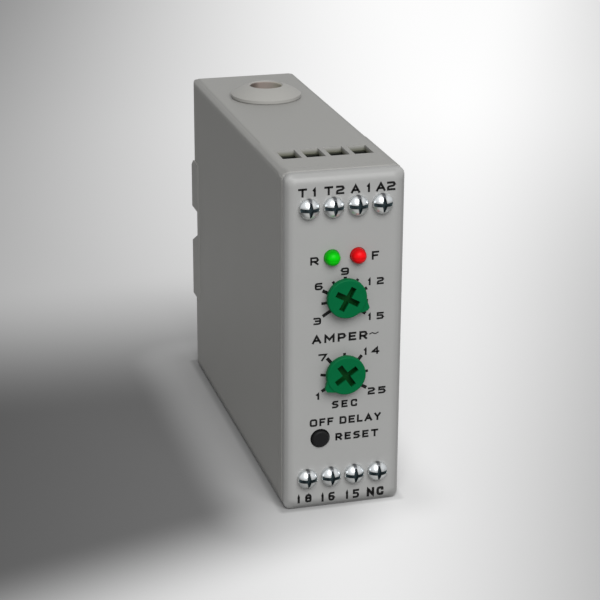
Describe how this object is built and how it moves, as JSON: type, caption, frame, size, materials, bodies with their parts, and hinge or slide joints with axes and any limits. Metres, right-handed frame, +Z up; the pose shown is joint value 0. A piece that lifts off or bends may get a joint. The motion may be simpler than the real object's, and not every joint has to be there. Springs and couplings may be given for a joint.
{
  "type": "overcurrent protection relay",
  "caption": "Slim upright relay case with a domed cable window through it, rows of clamp screws, two pointer knobs, lamps and a reset button.",
  "frame": {"origin": "middle of the part's box, at the lowest face that it stands on", "axes": "+Z up along the cable window, the front panel faces -Y, +X to the right seen from the front"},
  "size_m": [0.026, 0.0909, 0.0773],
  "materials": {
    "case": "fine satin mould texture",
    "panel": "satin with black print",
    "block": "matte",
    "copper": "plain",
    "board": "solder mask",
    "pot": "matte",
    "spacer": "matte",
    "green_lens": "lit diffused lens",
    "red_lens": "lit diffused lens",
    "black": "matte",
    "gold": "plated",
    "relay": "gloss",
    "film": "gloss",
    "can": "sleeved",
    "core": "matte",
    "winding": "enamelled wire",
    "lead": "insulated wire",
    "knob": "moulded",
    "screw": "zinc plated",
    "cage": "zinc plated"
  },
  "bodies": {
    "housing": {"front_panel": "panel", "main_case": "case", "cable_bush": "case", "terminal_block_top": "block", "terminal_block_bottom": "block", "contact_bars_top": "copper", "contact_bars_bottom": "copper", "front_board": "board", "range_pot": "pot", "delay_pot": "pot", "led_spacer": "spacer", "green_led": "green_lens", "red_led": "red_lens", "tact_switch": "black", "header_strip": "black", "header_pins": "gold", "main_board": "board", "output_relay": "relay", "supply_capacitor": "film", "filter_capacitor": "can", "controller_chip": "black", "ct_core": "core", "ct_winding": "winding", "ct_leads": "lead"},
    "range_knob": {"range_knob": "knob"},
    "delay_knob": {"delay_knob": "knob"},
    "reset_button": {"reset_button": "black"},
    "screw_1": {"clamp_screw_1": "screw"},
    "cage_1": {"clamp_cage_1": "cage"},
    "screw_2": {"clamp_screw_2": "screw"},
    "cage_2": {"clamp_cage_2": "cage"},
    "screw_3": {"clamp_screw_3": "screw"},
    "cage_3": {"clamp_cage_3": "cage"},
    "screw_4": {"clamp_screw_4": "screw"},
    "cage_4": {"clamp_cage_4": "cage"},
    "screw_5": {"clamp_screw_5": "screw"},
    "cage_5": {"clamp_cage_5": "cage"},
    "screw_6": {"clamp_screw_6": "screw"},
    "cage_6": {"clamp_cage_6": "cage"},
    "screw_7": {"clamp_screw_7": "screw"},
    "cage_7": {"clamp_cage_7": "cage"},
    "screw_8": {"clamp_screw_8": "screw"},
    "cage_8": {"clamp_cage_8": "cage"}
  },
  "joints": [
    {"name": "range_knob_turn", "type": "hinge", "parent": "housing", "child": "range_knob", "pos_m": [0, -0.04295, 0.04791], "axis": [0, -1, 0], "range_deg": [-8, 246]},
    {"name": "delay_knob_turn", "type": "hinge", "parent": "housing", "child": "delay_knob", "pos_m": [0, -0.04295, 0.03084], "axis": [0, -1, 0], "range_deg": [-252, 2]},
    {"name": "reset_press", "type": "slide", "parent": "housing", "child": "reset_button", "axis": [0, 1, 0], "range_m": [0, 0.0005], "stiffness_N_per_m": 2000},
    {"name": "screw_1_turn", "type": "hinge", "parent": "housing", "child": "screw_1", "pos_m": [-0.0078, -0.04295, 0.0674], "axis": [0, 1, 0], "range_deg": [0, 2160]},
    {"name": "cage_1_rise", "type": "slide", "parent": "housing", "child": "cage_1", "axis": [0, -1, 0], "range_m": [0, 0.003]},
    {"name": "screw_2_turn", "type": "hinge", "parent": "housing", "child": "screw_2", "pos_m": [-0.0026, -0.04295, 0.0674], "axis": [0, 1, 0], "range_deg": [0, 2160]},
    {"name": "cage_2_rise", "type": "slide", "parent": "housing", "child": "cage_2", "axis": [0, -1, 0], "range_m": [0, 0.003]},
    {"name": "screw_3_turn", "type": "hinge", "parent": "housing", "child": "screw_3", "pos_m": [0.0026, -0.04295, 0.0674], "axis": [0, 1, 0], "range_deg": [0, 2160]},
    {"name": "cage_3_rise", "type": "slide", "parent": "housing", "child": "cage_3", "axis": [0, -1, 0], "range_m": [0, 0.003]},
    {"name": "screw_4_turn", "type": "hinge", "parent": "housing", "child": "screw_4", "pos_m": [0.0078, -0.04295, 0.0674], "axis": [0, 1, 0], "range_deg": [0, 2160]},
    {"name": "cage_4_rise", "type": "slide", "parent": "housing", "child": "cage_4", "axis": [0, -1, 0], "range_m": [0, 0.003]},
    {"name": "screw_5_turn", "type": "hinge", "parent": "housing", "child": "screw_5", "pos_m": [-0.0078, -0.04295, 0.0072], "axis": [0, 1, 0], "range_deg": [0, 2160]},
    {"name": "cage_5_rise", "type": "slide", "parent": "housing", "child": "cage_5", "axis": [0, -1, 0], "range_m": [0, 0.003]},
    {"name": "screw_6_turn", "type": "hinge", "parent": "housing", "child": "screw_6", "pos_m": [-0.0026, -0.04295, 0.0072], "axis": [0, 1, 0], "range_deg": [0, 2160]},
    {"name": "cage_6_rise", "type": "slide", "parent": "housing", "child": "cage_6", "axis": [0, -1, 0], "range_m": [0, 0.003]},
    {"name": "screw_7_turn", "type": "hinge", "parent": "housing", "child": "screw_7", "pos_m": [0.0026, -0.04295, 0.0072], "axis": [0, 1, 0], "range_deg": [0, 2160]},
    {"name": "cage_7_rise", "type": "slide", "parent": "housing", "child": "cage_7", "axis": [0, -1, 0], "range_m": [0, 0.003]},
    {"name": "screw_8_turn", "type": "hinge", "parent": "housing", "child": "screw_8", "pos_m": [0.0078, -0.04295, 0.0072], "axis": [0, 1, 0], "range_deg": [0, 2160]},
    {"name": "cage_8_rise", "type": "slide", "parent": "housing", "child": "cage_8", "axis": [0, -1, 0], "range_m": [0, 0.003]}
  ],
  "couplings": [
    {"joint": "screw_1_turn", "follows": "cage_1_rise", "rad_per_m": 12566},
    {"joint": "screw_2_turn", "follows": "cage_2_rise", "rad_per_m": 12566},
    {"joint": "screw_3_turn", "follows": "cage_3_rise", "rad_per_m": 12566},
    {"joint": "screw_4_turn", "follows": "cage_4_rise", "rad_per_m": 12566},
    {"joint": "screw_5_turn", "follows": "cage_5_rise", "rad_per_m": 12566},
    {"joint": "screw_6_turn", "follows": "cage_6_rise", "rad_per_m": 12566},
    {"joint": "screw_7_turn", "follows": "cage_7_rise", "rad_per_m": 12566},
    {"joint": "screw_8_turn", "follows": "cage_8_rise", "rad_per_m": 12566}
  ]
}
